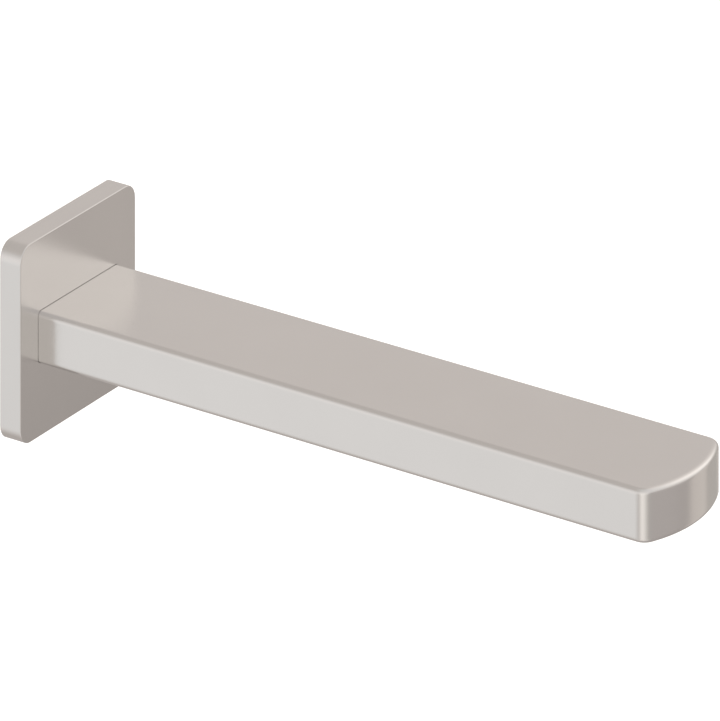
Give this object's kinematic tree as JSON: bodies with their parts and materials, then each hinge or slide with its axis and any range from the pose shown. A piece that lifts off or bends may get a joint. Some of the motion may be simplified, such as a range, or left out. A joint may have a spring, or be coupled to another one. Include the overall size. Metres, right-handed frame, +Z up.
{
  "type": "wall mounted bath spout",
  "caption": "Slim flat bath spout with rounded edges and a bowed nose, on a square wall plate, slipped over a threaded wall nipple, with a concealed aerator under the nose.",
  "frame": {"origin": "on the inlet's axis, in the plane of the finished wall", "axes": "+Z up, +X right as seen facing the wall, +Y into the wall; the spout comes out of the wall towards -Y"},
  "size_m": [0.06, 0.2402, 0.06],
  "materials": {
    "brushed_nickel": "brushed nickel plate, satin",
    "brass": "machined",
    "copper": "drawn tube",
    "stainless_steel": "plain",
    "black_rubber": "moulded",
    "red_fibre": "pressed fibre",
    "grey_foam": "closed cell foam",
    "white_acetal": "moulded",
    "grey_acetal": "moulded"
  },
  "bodies": {
    "wall_fixing": {"wall_nipple": "brass", "nipple_washer": "red_fibre", "spigot_o_rings": "black_rubber"},
    "spout": {"spout_shell": "brushed_nickel", "inlet_block": "brass", "tube_rear_seal": "black_rubber", "water_tube": "copper", "tube_cradles": "white_acetal", "tube_front_seal": "black_rubber", "outlet_block": "brass"},
    "plate": {"wall_plate": "brushed_nickel", "spout_seal": "black_rubber", "seal_retainer": "white_acetal", "wall_gasket": "grey_foam"},
    "screw_tip": {"screw_tip": "brass"},
    "grub_screw": {"grub_screw": "stainless_steel"},
    "aerator_top": {"aerator_washer": "black_rubber", "dome_filter": "white_acetal"},
    "aerator": {"aerator_housing": "grey_acetal", "diffuser_disc": "white_acetal", "mixing_ring": "white_acetal", "fine_screens": "stainless_steel", "honeycomb": "white_acetal"}
  },
  "joints": [
    {"name": "spout_slide", "type": "slide", "parent": "wall_fixing", "child": "spout", "axis": [0, -1, 0], "range_m": [0, 0.031]},
    {"name": "plate_slide", "type": "slide", "parent": "spout", "child": "plate", "axis": [0, -1, 0], "range_m": [0, 0.18]},
    {"name": "screw_travel", "type": "slide", "parent": "spout", "child": "screw_tip", "axis": [0, 0, -1], "range_m": [0, 0.0024]},
    {"name": "screw_turn", "type": "hinge", "parent": "screw_tip", "child": "grub_screw", "pos_m": [0, -0.013, -0.0065], "axis": [0, 0, 1], "range_deg": [-1080, 0]},
    {"name": "aerator_travel", "type": "slide", "parent": "spout", "child": "aerator_top", "axis": [0, 0, -1], "range_m": [0, 0.005]},
    {"name": "aerator_turn", "type": "hinge", "parent": "aerator_top", "child": "aerator", "pos_m": [0, -0.20725, -0.003], "axis": [0, 0, 1], "range_deg": [-1800, 0]}
  ],
  "couplings": [
    {"joint": "screw_turn", "follows": "screw_travel", "rad_per_m": -7854},
    {"joint": "aerator_turn", "follows": "aerator_travel", "rad_per_m": -6283.2}
  ]
}
